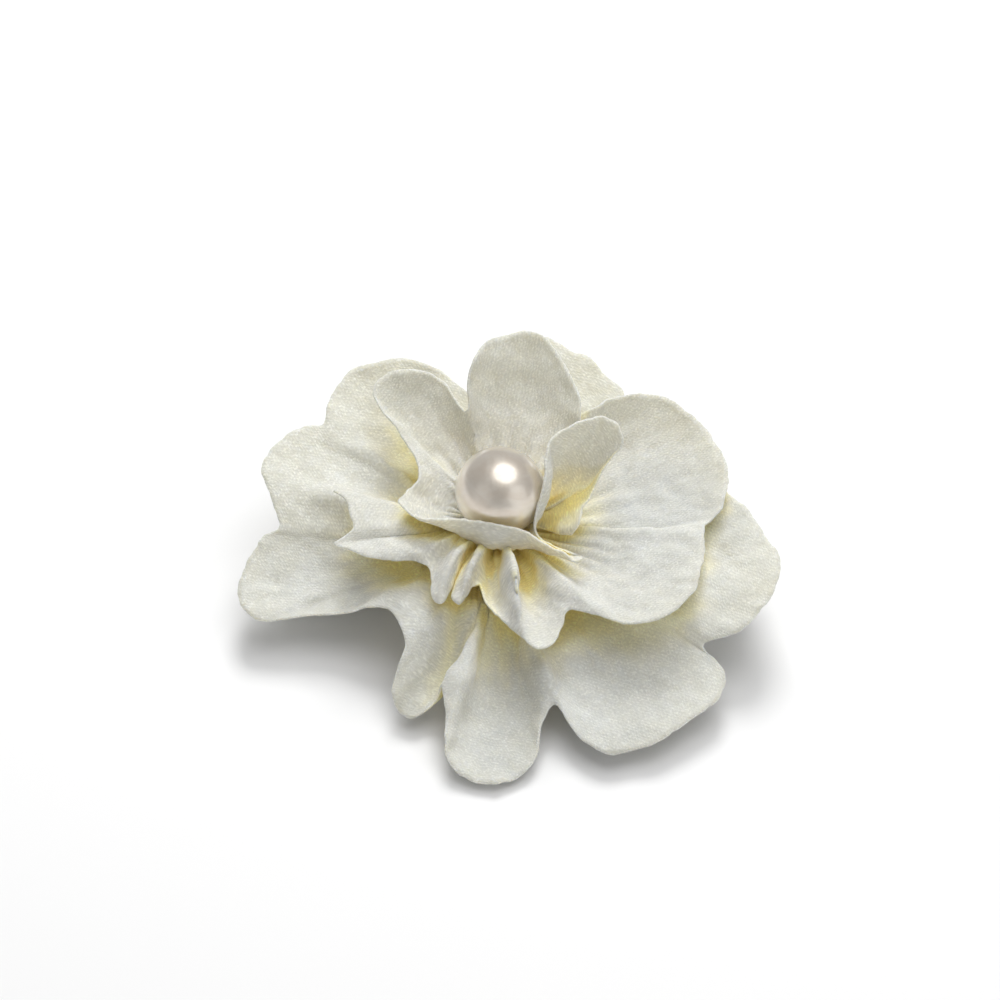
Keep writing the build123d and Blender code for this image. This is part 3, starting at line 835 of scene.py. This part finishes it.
def felt_strap():
    """The felt strip under the upper arm, stepped up at both sides of the arm to lie on the felt base."""
    low, high = (np.array(corner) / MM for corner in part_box("felt_bridge"))
    arm_middle = (low[1] + high[1]) / 2
    bottom, top = low[2] + 0.4, high[2] - 0.42
    across = np.linspace(low[1] + 0.1, high[1] - 0.1, 110)
    step = smoothstep(STEP_IN_MM, STEP_OUT_MM, np.abs(across - arm_middle))
    lift = bottom + (top - bottom) * step
    rows = 80
    along = np.linspace(low[0] + 0.1, high[0] - 0.1, rows)
    grid = np.empty((rows, len(across), 3))
    grid[:, :, 0] = along[:, None]
    grid[:, :, 1] = across[None, :]
    grid[:, :, 2] = lift[None, :]
    points = grid.reshape(-1, 3)
    grid[:, :, 2] += (fractal(points, 1.4, 14) * 0.05).reshape(grid.shape[:2])
    edge = smoothstep(0.86, 1.0, np.abs(np.linspace(-1, 1, rows)))[:, None]
    grid[:, :, 0] += edge * (fractal(points, 1.2, 15) * 0.07).reshape(grid.shape[:2])
    run = np.linalg.norm(np.diff(np.stack([across, lift], axis=1), axis=0), axis=1).sum()
    made = mesh_object("felt_strap", grid.reshape(-1, 3) * MM, grid_faces(rows, len(across), False))
    body = made.modifiers.new("thickness", "SOLIDIFY")
    body.thickness = STRAP_MM * MM
    body.offset = 0
    rounding = made.modifiers.new("soft_edges", "BEVEL")
    rounding.width = 0.15 * MM
    rounding.segments = 2
    rounding.angle_limit = math.radians(50)
    apply_modifiers(made)
    return made, run * MM


disc = felt_disc()
strap, strap_run = felt_strap()
for piece, node in ((disc, "felt_base"), (strap, "felt_bridge")):
    dress(piece, node, felt)
    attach(piece, "upper_jaw")


# ---------------------------------------------------------------- gathering threads
PLY_TWISTS = 46  # in one turn of the ring
PLY_WANDERS = 19


def twisted_thread(name, node):
    """A two-ply thread drawn tight in a ring where the CAD ring is, wandering a little over the puckers."""
    low, high = (np.array(corner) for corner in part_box(node))
    centre = (low + high) / 2
    loop, strand = (high[0] - low[0]) / 2, (high[2] - low[2]) / 2
    turn = np.linspace(0, TAU, 720, endpoint=False)
    made = []
    for ply in (0, math.pi):
        twist = ply + PLY_TWISTS * turn
        out = loop - strand + 0.5 * strand * np.cos(twist)
        lift = centre[2] + 0.5 * strand * np.sin(twist) + 0.25 * strand * np.sin(PLY_WANDERS * turn)
        path = np.stack([centre[0] + out * np.cos(turn), centre[1] + out * np.sin(turn), lift], axis=1)
        made.append(tube(name + "_ply", path, 0.5 * strand, 8, True))
    verts = np.concatenate([[v.co[:] for v in ply.data.vertices] for ply in made])
    count = len(made[0].data.vertices)
    faces = [tuple(ply.vertices) for ply in made[0].data.polygons]
    faces += [tuple(v + count for v in ply.vertices) for ply in made[1].data.polygons]
    for ply in made:
        bpy.data.objects.remove(ply)
    return mesh_object(name, verts, faces)


for node in ("outer_gather_thread", "middle_gather_thread", "inner_gather_thread"):
    piece = twisted_thread("twisted_" + node, node)
    dress(piece, node, thread)
    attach(piece, "upper_jaw")


# ---------------------------------------------------------------- pearl
BORE_MM = 0.55  # the drilled hole's radius
BORE_DEPTH_MM = 1.5


def bead():
    """The pearl: a lacquered bead, round to a few hundredths of a mm, with its drilled hole underneath."""
    low, high = (np.array(corner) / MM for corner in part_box("pearl"))
    centre, radius = (low + high) / 2, (high[0] - low[0]) / 2
    rim = math.pi - math.asin(BORE_MM / radius)
    polar = np.concatenate([[0.002], np.linspace(0.03, rim - 0.05, 110), np.linspace(rim - 0.03, rim, 4)])
    columns = 200
    turn = np.arange(columns) / columns * TAU
    aim = np.stack(
        [
            np.outer(np.sin(polar), np.cos(turn)),
            np.outer(np.sin(polar), np.sin(turn)),
            np.outer(np.cos(polar), np.ones(columns)),
        ],
        axis=2,
    )
    swell = (fractal(aim.reshape(-1, 3), 0.9, 21) * 0.012).reshape(aim.shape[:2])
    worn_rim = 0.06 * smoothstep(rim - 0.06, rim, polar)
    grid = centre + aim * (radius - 0.02 + swell - worn_rim[:, None])[:, :, None]
    bore = grid[-1] + np.array([0, 0, BORE_DEPTH_MM])
    grid = np.concatenate([grid, bore[None]])
    return mesh_object("pearl_bead", grid.reshape(-1, 3) * MM, capped_faces(len(grid), columns))


pearl = bead()
dress(pearl, "pearl", pearl_lacquer)
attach(pearl, "upper_jaw")


# ---------------------------------------------------------------- floor, light and camera
FLOOR_HALF = 1.5
FLOOR_GAP = 0.05 * MM  # keeps the floor clear of the clip's flat underside
corners = [(x * FLOOR_HALF, y * FLOOR_HALF, 0) for x, y in ((-1, -1), (1, -1), (1, 1), (-1, 1))]
floor = mesh_object("floor", corners, [(0, 1, 2, 3)], False)
floor.location.z = -FLOOR_GAP
floor_paint = new_material("pale_floor", base_color=(0.9, 0.9, 0.9, 1), roughness=0.9)[0]
floor.data.materials.append(floor_paint)

world = bpy.data.worlds.new("studio")
world.use_nodes = True
world.node_tree.nodes["Background"].inputs["Color"].default_value = (1, 1, 1, 1)
world.node_tree.nodes["Background"].inputs["Strength"].default_value = 0.28
bpy.context.scene.world = world


def area_light(name, place, size, watts):
    """A round soft light aimed at the frame's origin."""
    data = bpy.data.lights.new(name, "AREA")
    data.shape = "DISK"
    data.size = size
    data.energy = watts
    lamp = bpy.data.objects.new(name, data)
    bpy.context.scene.collection.objects.link(lamp)
    lamp.location = place
    lamp.rotation_euler = (-Vector(place)).to_track_quat("-Z", "Y").to_euler()
    return lamp


area_light("overhead_softbox", (0.1, 0.03, 0.5), 0.52, 1.25)
back_light = area_light("back_light", (0.02, 0.36, 0.44), 0.26, 2.1)
back_light.visible_glossy = False  # the photo's pearl has one highlight only
area_light("left_fill", (-0.42, -0.36, 0.22), 0.55, 0.18)
area_light("right_fill", (0.42, -0.36, 0.22), 0.55, 0.45)

ELEVATION = math.radians(45)
VIEW_WIDTH = 0.111  # what the picture's width covers at the pearl
VIEW_DROP = 0.001  # how far below the pearl's centre the picture's centre is
back = Vector((0, -math.cos(ELEVATION), math.sin(ELEVATION)))
camera_data = bpy.data.cameras.new("camera")
camera_data.lens = 200
camera_data.sensor_width = 36
camera = bpy.data.objects.new("camera", camera_data)
bpy.context.scene.collection.objects.link(camera)
pearl_centre = (Vector(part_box("pearl")[0]) + Vector(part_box("pearl")[1])) / 2
aim = Vector((0, pearl_centre.y, pearl_centre.z)) - Vector((0, 1, 1)).normalized() * VIEW_DROP
camera.location = aim + back * (VIEW_WIDTH * camera_data.lens / camera_data.sensor_width)
camera.rotation_euler = (-back).to_track_quat("-Z", "Y").to_euler()
bpy.context.scene.camera = camera

bpy.context.scene.view_settings.view_transform = "Standard"
